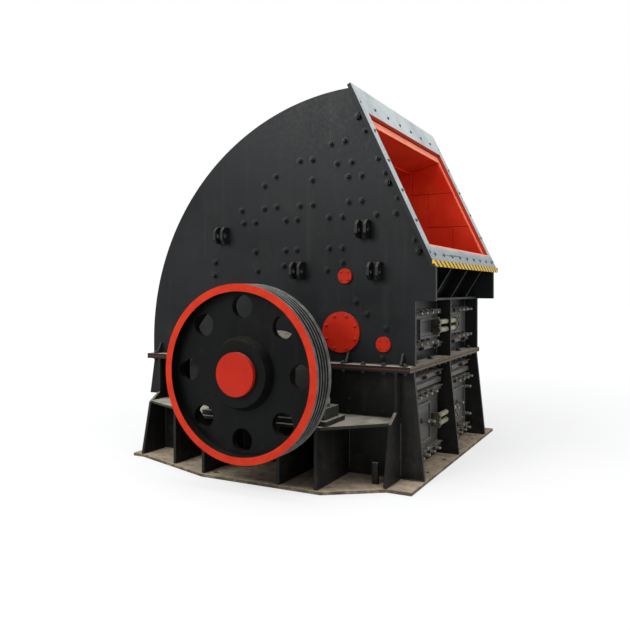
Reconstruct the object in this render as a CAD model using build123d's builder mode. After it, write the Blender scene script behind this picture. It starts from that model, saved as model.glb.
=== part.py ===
from build123d import *
import os
from math import asin, cos, degrees, radians, sin, sqrt, tan

# Heavy single-rotor hammer crusher, in millimetres.
# X runs from the curved back towards the feed opening, Y along the rotor shaft, Z up.
# The origin lies on the ground under the middle of the machine.

# Levels and the rotor axis
base_t = 30
split_z = 1005
shaft_x = 195
flange_t = 26
bench_z = 560
bench_t = 26

# Base plate outline: a wide middle under the bearings and tapered ends
base_front_x = 1490
base_rear_x = -1525
base_front_step_x = 1265
base_rear_step_x = -1390
base_wide_half = 610
base_end_y = 1440
base_side_y = 1755
anchor_hole_r = 21
anchor_front_edge = 85
anchor_rear_edge = 52
anchor_side_edge = 100
anchor_rows_y = [-780, -260, 260, 780]
anchor_side_half = 510

# Walls of the lower housing
lower_y = 1098
wall_t = 40
front_wall_x = 1245
rear_wall_x = -1420
front_foot_x = 1484
front_head_x = 1386
rear_rib_x = -1605
rear_rib_z = 598
rear_head_x = -1545
gusset_t = 30
gusset_neck_y = 1190
gusset_neck_z = 630
gusset_bevel_z = 548
gusset_bevel_y = 1325
gusset_inner_x = [735, 371, -426, -877]
bench_inset = 12
rib_t = 30

# Flanges of the bolted joint between the two halves
flange_front_x = 1388
flange_rear_x = -1562
flange_y = 1194

# Upper housing
upper_y = 1091
side_t = 40
upper_rear_x = -1565
shell_r = 2385
shell_z = 1180
shell_t = 30
shell_inset = 12
upper_rib_x = 1395
nose_x = 1583
nose_low_z = 1603
nose_top_z = 1906
ledge_t = 22

# Inclined feed frame: its outer plane starts at the lip and leans back
feed_foot_x = 1585
feed_foot_z = 1965
feed_angle = 64.55
feed_head = 293
feed_half = 1193
feed_t = 40
opening_side = 121
opening_low = 154
opening_head = 250.37
feed_hole_r = 15
feed_hole_side = 43
feed_hole_low = 75
feed_hole_edge = 197
lip_t = 20
lip_low_z = 1904
lip_top_z = 1960

# Wear linings of the crushing chamber
liner_t = 40
ceiling_t = 80
ceiling_drop = 10
ceiling_run = 324.4
ceiling_slope = 15.65
breaker_mid_gap = 446
breaker_mid_turn = 34.7
breaker_low_gap = 543
breaker_low_turn = 66.4
breaker_foot_gap = 723
breaker_foot_z = 1080
breaker_t = 90
floor_t = 45
floor_foot_x = 1235
floor_heel_t = 54
floor_rib_t = 20
floor_rib_y = [-560, 0, 560]

# Rotor
shaft_r = 150
journal_r = 120
seat_in_gap = 60
seal_gap = 5
seal_r = 205
seal_sides = 8
seal_bore_sides = 16
disc_r = 620
disc_t = 70
disc_sides = 12
disc_count = 6
disc_pitch = 374
spacer_r = 240
pin_circle_r = 500
pin_r = 48
pin_sides = 6
pin_count = 6
hammer_t = 230
hammer_w = 260
hammer_neck_w = 150
hammer_tip_r = 830
hammer_shoulder = 30

# Bearings
bearing_y = 1525
bearing_w = 280
bearing_body_r = 325
bearing_foot_half = 600
bearing_foot_t = 95
sole_half_x = 640
sole_half_y = 185
sole_t = 42
bearing_cap_r = 215
bearing_cap_sides = 16
bearing_cap_t = 35
bearing_nut_r = 64
bearing_stud_x = 520
bearing_nut_h = 30
fit_gap = 0.05

# Belt pulley and flywheel, same size
wheel_r = 750
rim_inner_r = 685
wheel_front_y = 2079
wheel_w = 250
web_recess = 79
web_t = 60
web_hole_r = 100
web_hole_sides = 18
web_hole_circle_r = 560
web_hole_count = 8
hub_low_r = 315
hub_top_r = 278
hub_length = 314
groove_count = 4
groove_pitch = 44.5
groove_depth = 26
cap_r = 184
cap_t = 36

# Covers and lugs on the side plates, as X and Z of their centres
big_cover = (680, 1313)
big_cover_r = 188
small_covers = [(722, 1831), (1102, 1215)]
small_cover_r = 69
cover_t = 24
lug_places = [(-636, 2249), (920, 2253), (240, 1886), (1035, 1871)]
lug_h = 165
lug_reach = 90
lug_t = 28
lug_gap = 58
lug_eye_r = 26
lug_eye_sides = 6

# Bolted doors in the front and rear bays
door_t = 30
door_gap = 70
door_edge = 75
door_bar = 45
door_bar_out = 38
upper_door_low_z = 1135
upper_door_top_z = 1510
lower_door_low_z = 130
lower_door_mid_z = 745
lower_door_top_z = 900

# Adjusters that cross the central ribs
rod_r = 26
rod_gap = 3
rod_sides = 8
rod_half = 330
rod_spread = 78
upper_rod_z = 1345
lower_rod_z = 420
rod_out = 105
yoke_t = 25
nut_r = 40
nut_t = 30
nut_sides = 6

# Discharge grate under the rotor
grate_gap = 55
grate_bar_h = 80
grate_bar_t = 70
grate_bar_count = 13
grate_half_angle = 54
cradle_t = 60
cradle_h = 88
cradle_sides = 24
cradle_end_share = 0.55

# Worked-out levels and faces
flange_low_z = split_z - flange_t
grate_r = hammer_tip_r + grate_gap
flange_top_z = split_z + flange_t
front_inner_x = front_wall_x - wall_t
rear_inner_x = rear_wall_x + wall_t
lower_inner_y = lower_y - wall_t
upper_inner_y = upper_y - side_t
chamber_y = upper_inner_y - liner_t
shell_x = upper_rear_x + shell_r
shell_outer_r = shell_r - shell_inset
shell_inner_r = shell_outer_r - shell_t
web_front_y = wheel_front_y - web_recess
hub_back_y = wheel_front_y - hub_length
slope_x = -cos(radians(feed_angle))
slope_z = sin(radians(feed_angle))
seal_flat = seal_r * cos(radians(180 / seal_sides))


def on_feed(along, behind):
    """Point in the XZ plane, a distance up the feed frame and a depth behind its face."""
    return (
        feed_foot_x + along * slope_x - behind * slope_z,
        feed_foot_z + along * slope_z + behind * slope_x,
    )


def feed_at_height(z, behind):
    """Distance up the frame at which a plane behind its face reaches a height."""
    return (z - feed_foot_z - behind * slope_x) / slope_z


def feed_at_arc(radius, behind):
    """Distance up the frame at which that plane meets an arc about the shell's centre."""
    x, z = on_feed(0, behind)
    dx, dz = x - shell_x, z - shell_z
    half = dx * slope_x + dz * slope_z
    return -half + sqrt(half**2 - dx**2 - dz**2 + radius**2)


def near_plane(y):
    """XZ plane at a distance towards the near side; extrusions run further outwards."""
    return Plane.XZ.offset(y)


def shaft_notch():
    """Cut the eight-sided opening that the shaft seal fills."""
    with Locations((shaft_x, split_z)):
        RegularPolygon(seal_r, seal_sides, rotation=180 / seal_sides, mode=Mode.SUBTRACT)


def in_shell(gap, turn):
    """Point a gap inside the curved shell, turned back from straight up about its centre."""
    reach = shell_inner_r - gap
    return (shell_x - reach * sin(radians(turn)), shell_z + reach * cos(radians(turn)))


# Places that follow the meeting of the curved shell and the leaning frame
opening_top = feed_at_arc(shell_inner_r, feed_t) - opening_head
feed_length = opening_top + feed_head
feed_hole_top = feed_length - feed_hole_edge
opening_half = feed_half - opening_side
feed_hole_y = feed_half - feed_hole_side
ceiling_head = on_feed(opening_top - ceiling_drop, feed_t)
ceiling_low_head = on_feed(opening_top - ceiling_drop - ceiling_t / slope_z, feed_t)
ceiling_back_x = ceiling_head[0] - ceiling_run
ceiling_back_z = ceiling_head[1] - ceiling_run * tan(radians(ceiling_slope)) - ceiling_t
breaker_low = in_shell(breaker_low_gap, breaker_low_turn)
breaker_foot = (shell_x - shell_inner_r + breaker_foot_gap, breaker_foot_z)

pieces = {}

# Base plates, one welded outline seamed at the inner faces of the end walls
base_points = [
    (base_rear_x, base_end_y),
    (base_rear_step_x, base_end_y),
    (shaft_x - base_wide_half, base_side_y),
    (shaft_x + base_wide_half, base_side_y),
    (base_front_step_x, base_end_y),
    (base_front_x, base_end_y),
]
anchor_places = [
    (x, y)
    for x in (base_front_x - anchor_front_edge, base_rear_x + anchor_rear_edge)
    for y in anchor_rows_y
]
anchor_places += [
    (shaft_x + x, y)
    for x in (-anchor_side_half, anchor_side_half)
    for y in (anchor_side_edge - base_side_y, base_side_y - anchor_side_edge)
]
front_seam = Plane.YZ.offset(front_inner_x)
rear_seam = Plane.YZ.offset(rear_inner_x)

with BuildPart() as base_outline:
    with BuildSketch():
        with BuildLine():
            Polyline(*base_points, *[(x, -y) for x, y in reversed(base_points)], close=True)
        make_face()
        with Locations(((front_inner_x + rear_inner_x) / 2, 0)):
            Rectangle(front_inner_x - rear_inner_x, 2 * lower_inner_y, mode=Mode.SUBTRACT)
        with Locations(*anchor_places):
            Circle(anchor_hole_r, mode=Mode.SUBTRACT)
    extrude(amount=base_t)

with BuildPart() as base_front:
    add(base_outline.part)
    split(bisect_by=front_seam, keep=Keep.TOP)
pieces["base_front"] = base_front

with BuildPart() as base_rear:
    add(base_outline.part)
    split(bisect_by=rear_seam, keep=Keep.BOTTOM)
pieces["base_rear"] = base_rear

with BuildPart() as base_left:
    add(base_outline.part)
    split(bisect_by=front_seam, keep=Keep.BOTTOM)
    split(bisect_by=rear_seam, keep=Keep.TOP)
    split(bisect_by=Plane.XZ, keep=Keep.TOP)
pieces["base_left"] = base_left

with BuildPart() as base_right:
    mirror(base_left.part, about=Plane.XZ)
pieces["base_right"] = base_right

# Lower housing walls; the side walls run past the end walls as corner ribs
with BuildPart() as lower_wall_left:
    with BuildSketch(near_plane(lower_inner_y)):
        with BuildLine():
            Polyline(
                (rear_wall_x, base_t),
                (front_foot_x, base_t),
                (front_head_x, flange_low_z),
                (rear_head_x, flange_low_z),
                (rear_rib_x, rear_rib_z),
                (rear_wall_x, rear_rib_z),
                close=True,
            )
        make_face()
        shaft_notch()
    extrude(amount=wall_t)
pieces["lower_wall_left"] = lower_wall_left

with BuildPart() as lower_wall_right:
    mirror(lower_wall_left.part, about=Plane.XZ)
pieces["lower_wall_right"] = lower_wall_right

wall_height = flange_low_z - base_t
with BuildPart() as lower_wall_front:
    with BuildSketch(Plane.XY.offset(base_t)):
        with Locations((front_wall_x - wall_t / 2, 0)):
            Rectangle(wall_t, 2 * lower_inner_y)
    extrude(amount=wall_height)
pieces["lower_wall_front"] = lower_wall_front

with BuildPart() as lower_wall_rear:
    with BuildSketch(Plane.XY.offset(base_t)):
        with Locations((rear_wall_x + wall_t / 2, 0)):
            Rectangle(wall_t, 2 * lower_inner_y)
    extrude(amount=wall_height)
pieces["lower_wall_rear"] = lower_wall_rear

# Central ribs that split each end into two bays
rib_half_plane = near_plane(-rib_t / 2)


def rod_holes(x, z):
    """Two clearance holes for the adjuster rods."""
    with Locations((x, z - rod_spread / 2), (x, z + rod_spread / 2)):
        RegularPolygon(rod_r + rod_gap, rod_sides, mode=Mode.SUBTRACT)


rod_x = front_wall_x + rod_out
with BuildPart() as rib_front_lower:
    with BuildSketch(rib_half_plane):
        with BuildLine():
            Polyline(
                (front_wall_x, base_t),
                (front_foot_x, base_t),
                (front_head_x, flange_low_z),
                (front_wall_x, flange_low_z),
                close=True,
            )
        make_face()
        rod_holes(rod_x, lower_rod_z)
    extrude(amount=rib_t)
pieces["rib_front_lower"] = rib_front_lower

with BuildPart() as rib_front_upper:
    with BuildSketch(rib_half_plane):
        with BuildLine():
            Polyline(
                (front_wall_x, flange_top_z),
                (upper_rib_x, flange_top_z),
                (upper_rib_x, nose_low_z),
                (front_wall_x, nose_low_z),
                close=True,
            )
        make_face()
        rod_holes(rod_x, upper_rod_z)
    extrude(amount=rib_t)
pieces["rib_front_upper"] = rib_front_upper

with BuildPart() as rib_rear:
    with BuildSketch(rib_half_plane):
        with BuildLine():
            Polyline(
                (rear_wall_x, rear_rib_z),
                (rear_rib_x, rear_rib_z),
                (rear_head_x, flange_low_z),
                (rear_wall_x, flange_low_z),
                close=True,
            )
        make_face()
    extrude(amount=rib_t)
pieces["rib_rear"] = rib_rear

# Gussets: two tall ones that continue the end walls and four under the bench
bench_low_z = bench_z - bench_t


def bench_edge_y(x):
    """Distance of the bench's outer edge from the middle plane."""
    if x > shaft_x:
        run, reach = base_front_step_x - shaft_x - base_wide_half, x - shaft_x - base_wide_half
    else:
        run, reach = shaft_x - base_wide_half - base_rear_step_x, shaft_x - base_wide_half - x
    drop = max(reach, 0) / run * (base_side_y - base_end_y)
    return base_side_y - bench_inset - drop


front_gusset_x = base_front_step_x - gusset_t
rear_gusset_x = rear_wall_x
with BuildPart() as gussets_left:
    for gusset_x in (front_gusset_x, rear_gusset_x):
        with BuildSketch(Plane.YZ.offset(gusset_x)):
            with BuildLine():
                Polyline(
                    (-lower_y, base_t),
                    (-base_end_y, base_t),
                    (-gusset_bevel_y, gusset_bevel_z),
                    (-gusset_neck_y, gusset_neck_z),
                    (-gusset_neck_y, flange_low_z),
                    (-lower_y, flange_low_z),
                    close=True,
                )
            make_face()
        extrude(amount=gusset_t)
    for gusset_x in gusset_inner_x:
        outer_face_x = gusset_x + gusset_t if gusset_x > shaft_x else gusset_x
        with BuildSketch(Plane.YZ.offset(gusset_x)):
            with BuildLine():
                Polyline(
                    (-lower_y, base_t),
                    (-bench_edge_y(outer_face_x), base_t),
                    (-bench_edge_y(outer_face_x), bench_low_z),
                    (-lower_y, bench_low_z),
                    close=True,
                )
            make_face()
        extrude(amount=gusset_t)
pieces["gussets_left"] = gussets_left

with BuildPart() as gussets_right:
    mirror(gussets_left.part, about=Plane.XZ)
pieces["gussets_right"] = gussets_right

# Benches that carry the bearings, between the tall gussets
with BuildPart() as benches:
    with BuildSketch(Plane.XY.offset(bench_low_z)):
        with BuildLine():
            Polyline(
                (rear_gusset_x + gusset_t, -lower_y),
                (rear_gusset_x + gusset_t, -gusset_bevel_y),
                (shaft_x - base_wide_half, -bench_edge_y(shaft_x)),
                (shaft_x + base_wide_half, -bench_edge_y(shaft_x)),
                (front_gusset_x, -gusset_bevel_y),
                (front_gusset_x, -lower_y),
                close=True,
            )
        make_face()
    extrude(amount=bench_t)
    mirror(about=Plane.XZ)
pieces["benches"] = benches


# Joint flanges of the two halves, cut through where the shaft passes
def flange_ring(z):
    with BuildPart() as ring:
        with BuildSketch(Plane.XY.offset(z)):
            with Locations(((flange_front_x + flange_rear_x) / 2, 0)):
                Rectangle(flange_front_x - flange_rear_x, 2 * flange_y)
            with Locations(((front_inner_x + rear_inner_x) / 2, 0)):
                Rectangle(front_inner_x - rear_inner_x, 2 * upper_inner_y, mode=Mode.SUBTRACT)
            with Locations((shaft_x, 0)):
                Rectangle(2 * seal_flat, 2 * flange_y, mode=Mode.SUBTRACT)
        extrude(amount=flange_t)
    return ring


pieces["lower_flange"] = flange_ring(flange_low_z)
pieces["upper_flange"] = flange_ring(split_z)

# Side plates of the upper housing with the curved back and the leaning feed edge
side_top_s = feed_at_arc(shell_r, feed_t)
nose_top_s = feed_at_height(nose_top_z, feed_t)


def arc_middle(radius, x_top):
    """Point halfway round an arc between the rear tangent and a top abscissa."""
    half_angle = radians(180 - degrees(asin((x_top - shell_x) / radius)) - 90) / 2
    return (shell_x - radius * cos(half_angle), shell_z + radius * sin(half_angle))


with BuildPart() as side_plate_left:
    with BuildSketch(near_plane(upper_inner_y)):
        with BuildLine():
            Polyline(
                (upper_rear_x, shell_z),
                (upper_rear_x, flange_top_z),
                (upper_rib_x, flange_top_z),
                (upper_rib_x, nose_low_z),
                (nose_x, nose_low_z),
                (nose_x, nose_top_z),
                on_feed(nose_top_s, feed_t),
                on_feed(side_top_s, feed_t),
            )
            ThreePointArc(
                on_feed(side_top_s, feed_t),
                arc_middle(shell_r, on_feed(side_top_s, feed_t)[0]),
                (upper_rear_x, shell_z),
            )
        make_face()
        shaft_notch()
    extrude(amount=side_t)
pieces["side_plate_left"] = side_plate_left

with BuildPart() as side_plate_right:
    mirror(side_plate_left.part, about=Plane.XZ)
pieces["side_plate_right"] = side_plate_right

# Curved shell between the side plates
outer_top = on_feed(feed_at_arc(shell_outer_r, feed_t), feed_t)
inner_top = on_feed(feed_at_arc(shell_inner_r, feed_t), feed_t)
with BuildPart() as back_shell:
    with BuildSketch(near_plane(-upper_inner_y)):
        with BuildLine():
            ThreePointArc(
                outer_top, arc_middle(shell_outer_r, outer_top[0]), (shell_x - shell_outer_r, shell_z)
            )
            Polyline(
                (shell_x - shell_outer_r, shell_z),
                (shell_x - shell_outer_r, flange_top_z),
                (shell_x - shell_inner_r, flange_top_z),
                (shell_x - shell_inner_r, shell_z),
            )
            ThreePointArc(
                (shell_x - shell_inner_r, shell_z), arc_middle(shell_inner_r, inner_top[0]), inner_top
            )
            Line(inner_top, outer_top)
        make_face()
    extrude(amount=2 * upper_inner_y)
pieces["back_shell"] = back_shell

# Upper front wall and the ledge on top of it
ledge_z = nose_low_z
with BuildPart() as upper_wall_front:
    with BuildSketch(near_plane(-upper_inner_y)):
        with BuildLine():
            Polyline(
                (front_inner_x, flange_top_z),
                (front_wall_x, flange_top_z),
                (front_wall_x, ledge_z),
                (upper_rib_x, ledge_z),
                (upper_rib_x, ledge_z + ledge_t),
                (front_inner_x, ledge_z + ledge_t),
                close=True,
            )
        make_face()
    extrude(amount=2 * upper_inner_y)
pieces["upper_wall_front"] = upper_wall_front

# Steep chute floor behind the feed opening, propped by three ribs
ledge_top_z = ledge_z + ledge_t
floor_head = on_feed(opening_low, feed_t)
floor_under = on_feed(opening_low - floor_t / sin(radians(feed_angle)), feed_t)
floor_foot = (floor_foot_x, ledge_top_z)
floor_heel = (floor_foot_x + floor_heel_t, ledge_top_z)
with BuildPart() as chute_floor:
    with BuildSketch(near_plane(-upper_inner_y)):
        with BuildLine():
            Polyline(floor_head, floor_under, floor_heel, floor_foot, close=True)
        make_face()
    extrude(amount=2 * upper_inner_y)
    for rib_y in floor_rib_y:
        with BuildSketch(near_plane(rib_y - floor_rib_t / 2)):
            with BuildLine():
                Polyline(
                    floor_heel,
                    floor_under,
                    on_feed(nose_top_s, feed_t),
                    (upper_rib_x, ledge_top_z),
                    close=True,
                )
            make_face()
        extrude(amount=floor_rib_t)
pieces["chute_floor"] = chute_floor

# Feed frame: a thick leaning plate around the feed opening
with BuildPart() as feed_frame:
    with BuildSketch(near_plane(-feed_half)):
        with BuildLine():
            Polyline(
                (feed_foot_x, nose_top_z),
                (feed_foot_x, feed_foot_z),
                on_feed(feed_length, 0),
                on_feed(feed_length, feed_t),
                on_feed(nose_top_s, feed_t),
                close=True,
            )
        make_face()
    extrude(amount=2 * feed_half)
    feed_face = Plane(
        origin=(feed_foot_x, 0, feed_foot_z), x_dir=(0, 1, 0), z_dir=(slope_z, 0, -slope_x)
    )
    with BuildSketch(feed_face):
        with Locations((0, (opening_low + opening_top) / 2)):
            Rectangle(2 * opening_half, opening_top - opening_low)
        for hole_s in (feed_hole_low, feed_hole_top):
            with Locations((-feed_hole_y, hole_s), (feed_hole_y, hole_s)):
                Circle(feed_hole_r)
    extrude(amount=-2 * feed_t, mode=Mode.SUBTRACT)
pieces["feed_frame"] = feed_frame

with BuildPart() as feed_lip:
    with BuildSketch(Plane.YZ.offset(feed_foot_x)):
        with Locations((0, (lip_low_z + lip_top_z) / 2)):
            Rectangle(2 * feed_half, lip_top_z - lip_low_z)
    extrude(amount=lip_t)
pieces["feed_lip"] = feed_lip

# Ceiling lining behind the upper edge of the opening
with BuildPart() as liner_ceiling:
    with BuildSketch(near_plane(-chamber_y)):
        with BuildLine():
            Polyline(
                ceiling_head,
                ceiling_low_head,
                (ceiling_back_x, ceiling_back_z),
                (ceiling_back_x, ceiling_back_z + ceiling_t),
                close=True,
            )
        make_face()
    extrude(amount=2 * chamber_y)
pieces["liner_ceiling"] = liner_ceiling


# Curved breaker wall from the ceiling down to the back of the rotor
def breaker_curve(offset_x, offset_z):
    """Arc and straight foot of the breaker wall, shifted back by its thickness."""
    top = (ceiling_back_x, ceiling_back_z + offset_z)
    mid = in_shell(breaker_mid_gap - offset_x, breaker_mid_turn)
    low = (breaker_low[0] - offset_x, breaker_low[1])
    ThreePointArc(top, mid, low)
    Line(low, (breaker_foot[0] - offset_x, breaker_foot[1]))


with BuildPart() as breaker_wall:
    with BuildSketch(near_plane(-chamber_y)):
        with BuildLine():
            breaker_curve(0, 0)
            breaker_curve(breaker_t, ceiling_t)
            Line((ceiling_back_x, ceiling_back_z), (ceiling_back_x, ceiling_back_z + ceiling_t))
            Line(breaker_foot, (breaker_foot[0] - breaker_t, breaker_foot[1]))
        make_face()
    extrude(amount=2 * chamber_y)
pieces["breaker_wall"] = breaker_wall

# Side linings, as far as the chamber reaches
with BuildPart() as liner_left:
    with BuildSketch(near_plane(chamber_y)):
        with BuildLine():
            breaker_curve(breaker_t, ceiling_t)
            Polyline(
                (ceiling_back_x, ceiling_back_z + ceiling_t),
                ceiling_head,
                floor_head,
                floor_foot,
                (front_inner_x, ledge_top_z),
                (front_inner_x, breaker_foot[1]),
                (breaker_foot[0] - breaker_t, breaker_foot[1]),
            )
        make_face()
        shaft_notch()
    extrude(amount=liner_t)
pieces["liner_left"] = liner_left

with BuildPart() as liner_right:
    mirror(liner_left.part, about=Plane.XZ)
pieces["liner_right"] = liner_right

# Round covers bolted to the side plates
with BuildPart() as side_covers:
    with BuildSketch(near_plane(upper_y)):
        with Locations(big_cover):
            Circle(big_cover_r)
        with Locations(*small_covers):
            Circle(small_cover_r)
    extrude(amount=cover_t)
    mirror(about=Plane.XZ)
pieces["side_covers"] = side_covers

# Lifting lugs: pairs of ears on a pad
lug_foot = 2 * lug_t + lug_gap
with BuildPart() as lifting_lugs:
    for lug_x, lug_z in lug_places:
        with BuildSketch(near_plane(upper_y)):
            with Locations((lug_x, lug_z)):
                Rectangle(lug_foot, lug_h)
        extrude(amount=lug_t)
        for side in (-1, 1):
            ear_x = lug_x + side * (lug_gap + lug_t) / 2
            with BuildSketch(Plane.YZ.offset(ear_x - lug_t / 2)):
                with BuildLine():
                    Polyline(
                        (-upper_y - lug_t, lug_z - lug_h / 2),
                        (-upper_y - lug_t - lug_reach / 2, lug_z - lug_h / 2),
                        (-upper_y - lug_t - lug_reach, lug_z - lug_h / 4),
                        (-upper_y - lug_t - lug_reach, lug_z + lug_h / 4),
                        (-upper_y - lug_t - lug_reach / 2, lug_z + lug_h / 2),
                        (-upper_y - lug_t, lug_z + lug_h / 2),
                        close=True,
                    )
                make_face()
                with Locations((-upper_y - lug_t - lug_reach / 2, lug_z)):
                    RegularPolygon(lug_eye_r, lug_eye_sides, mode=Mode.SUBTRACT)
            extrude(amount=lug_t)
    mirror(about=Plane.XZ)
pieces["lifting_lugs"] = lifting_lugs

# Shaft seals that close the round notches in the side walls
with BuildPart() as shaft_seals:
    with BuildSketch(near_plane(chamber_y)):
        with Locations((shaft_x, split_z)):
            RegularPolygon(seal_r, seal_sides, rotation=180 / seal_sides)
            RegularPolygon(
                shaft_r + seal_gap, seal_bore_sides, major_radius=False, mode=Mode.SUBTRACT
            )
    extrude(amount=flange_y - chamber_y)
    mirror(about=Plane.XZ)
pieces["shaft_seals"] = shaft_seals

# Bearing sole plates and housings on the benches
sole_top_z = bench_z + sole_t
with BuildPart() as bearing_soles:
    with BuildSketch(Plane.XY.offset(bench_z)):
        with Locations((shaft_x, -bearing_y)):
            Rectangle(2 * sole_half_x, 2 * sole_half_y)
    extrude(amount=sole_t)
    mirror(about=Plane.XZ)
pieces["bearing_soles"] = bearing_soles

bearing_in_y = bearing_y - bearing_w / 2
with BuildPart() as bearing_left:
    with BuildSketch(near_plane(bearing_in_y)):
        with Locations((shaft_x, split_z)):
            Circle(bearing_body_r)
        with Locations((shaft_x, (split_z + sole_top_z) / 2)):
            Rectangle(2 * bearing_body_r, split_z - sole_top_z)
        with Locations((shaft_x, sole_top_z + bearing_foot_t / 2)):
            Rectangle(2 * bearing_foot_half, bearing_foot_t)
    extrude(amount=bearing_w)
    with BuildSketch(near_plane(bearing_in_y - bearing_cap_t)):
        with Locations((shaft_x, split_z)):
            RegularPolygon(bearing_cap_r, bearing_cap_sides)
    extrude(amount=bearing_w + 2 * bearing_cap_t)
    with BuildSketch(Plane.XY.offset(sole_top_z + bearing_foot_t)):
        with Locations((shaft_x - bearing_stud_x, -bearing_y), (shaft_x + bearing_stud_x, -bearing_y)):
            RegularPolygon(bearing_nut_r, nut_sides)
    extrude(amount=bearing_nut_h)
    with BuildSketch(near_plane(bearing_in_y - bearing_cap_t)):
        with Locations((shaft_x, split_z)):
            Circle(journal_r + fit_gap)
    extrude(amount=bearing_w + 2 * bearing_cap_t, mode=Mode.SUBTRACT)
pieces["bearing_left"] = bearing_left

with BuildPart() as bearing_right:
    mirror(bearing_left.part, about=Plane.XZ)
pieces["bearing_right"] = bearing_right


# Doors: thick panels with edge bars, one in each bay
def doors(face_x, out, *levels):
    """Panels in both bays of a wall face, each with bars at its head and foot."""
    bay_half = (lower_inner_y - door_edge - door_gap) / 2
    with BuildPart() as panels:
        for low_z, top_z in levels:
            for middle in (-door_gap - bay_half, door_gap + bay_half):
                with BuildSketch(Plane.YZ.offset(face_x)):
                    with Locations((middle, (low_z + top_z) / 2)):
                        Rectangle(2 * bay_half, top_z - low_z)
                extrude(amount=out * door_t)
                with BuildSketch(Plane.YZ.offset(face_x + out * door_t)):
                    with Locations((middle, low_z + door_bar / 2), (middle, top_z - door_bar / 2)):
                        Rectangle(2 * bay_half, door_bar)
                extrude(amount=out * door_bar_out)
    return panels


lower_doors = [(lower_door_low_z, lower_door_mid_z), (lower_door_mid_z + door_t, lower_door_top_z)]
pieces["doors_front_upper"] = doors(front_wall_x, 1, (upper_door_low_z, upper_door_top_z))
pieces["doors_front_lower"] = doors(front_wall_x, 1, *lower_doors)
pieces["doors_rear"] = doors(rear_wall_x, -1, *lower_doors)


def adjuster(z):
    """Two threaded rods through the rib, with a yoke and nuts in each bay."""
    yoke_in_y = rod_half - nut_t - yoke_t
    yoke_reach = rod_x + rod_r - front_wall_x - door_t
    with BuildPart() as gear:
        with BuildSketch(near_plane(-rod_half)):
            with Locations((rod_x, z - rod_spread / 2), (rod_x, z + rod_spread / 2)):
                RegularPolygon(rod_r, rod_sides)
        extrude(amount=2 * rod_half)
        for low_y in (yoke_in_y, -yoke_in_y - yoke_t):
            with BuildSketch(near_plane(low_y)):
                with Locations((rod_x + rod_r - yoke_reach / 2, z)):
                    Rectangle(yoke_reach, rod_spread + 2 * rod_r)
            extrude(amount=yoke_t)
        for nut_y in (yoke_in_y + yoke_t, -yoke_in_y - yoke_t - nut_t):
            with BuildSketch(near_plane(nut_y)):
                with Locations((rod_x, z - rod_spread / 2), (rod_x, z + rod_spread / 2)):
                    RegularPolygon(nut_r, nut_sides)
            extrude(amount=nut_t)
    return gear


pieces["adjuster_upper"] = adjuster(upper_rod_z)
pieces["adjuster_lower"] = adjuster(lower_rod_z)

# Discharge grate: bars round the lower half of the rotor on two curved cradles
with BuildPart() as grate:
    for cradle_y in (-lower_inner_y, lower_inner_y - cradle_t):
        with BuildSketch(near_plane(cradle_y)):
            with Locations((shaft_x, split_z)):
                RegularPolygon(grate_r + cradle_h, cradle_sides)
                RegularPolygon(grate_r, cradle_sides, mode=Mode.SUBTRACT)
            with Locations((shaft_x, split_z + grate_r * cradle_end_share)):
                Rectangle(4 * grate_r, 2 * grate_r, mode=Mode.SUBTRACT)
        extrude(amount=cradle_t)
    with BuildSketch(near_plane(-lower_inner_y + cradle_t)):
        with Locations((shaft_x, split_z)):
            with PolarLocations(
                grate_r + cradle_h / 2,
                grate_bar_count,
                start_angle=-90 - grate_half_angle,
                angular_range=2 * grate_half_angle,
                endpoint=True,
            ):
                Rectangle(grate_bar_h, grate_bar_t)
    extrude(amount=2 * (lower_inner_y - cradle_t))
pieces["grate"] = grate

# Rotor shaft, stepped down to the journals that carry the bearings and the wheels
seat_y = bearing_in_y - bearing_cap_t - seat_in_gap
with BuildPart() as shaft:
    with BuildSketch(Plane.XY.offset(split_z)):
        with BuildLine():
            Polyline(
                (shaft_x, -wheel_front_y),
                (shaft_x + journal_r, -wheel_front_y),
                (shaft_x + journal_r, -seat_y),
                (shaft_x + shaft_r, -seat_y),
                (shaft_x + shaft_r, seat_y),
                (shaft_x + journal_r, seat_y),
                (shaft_x + journal_r, wheel_front_y),
                (shaft_x, wheel_front_y),
                close=True,
            )
        make_face()
    revolve(axis=Axis((shaft_x, 0, split_z), (0, 1, 0)))
pieces["shaft"] = shaft


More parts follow.
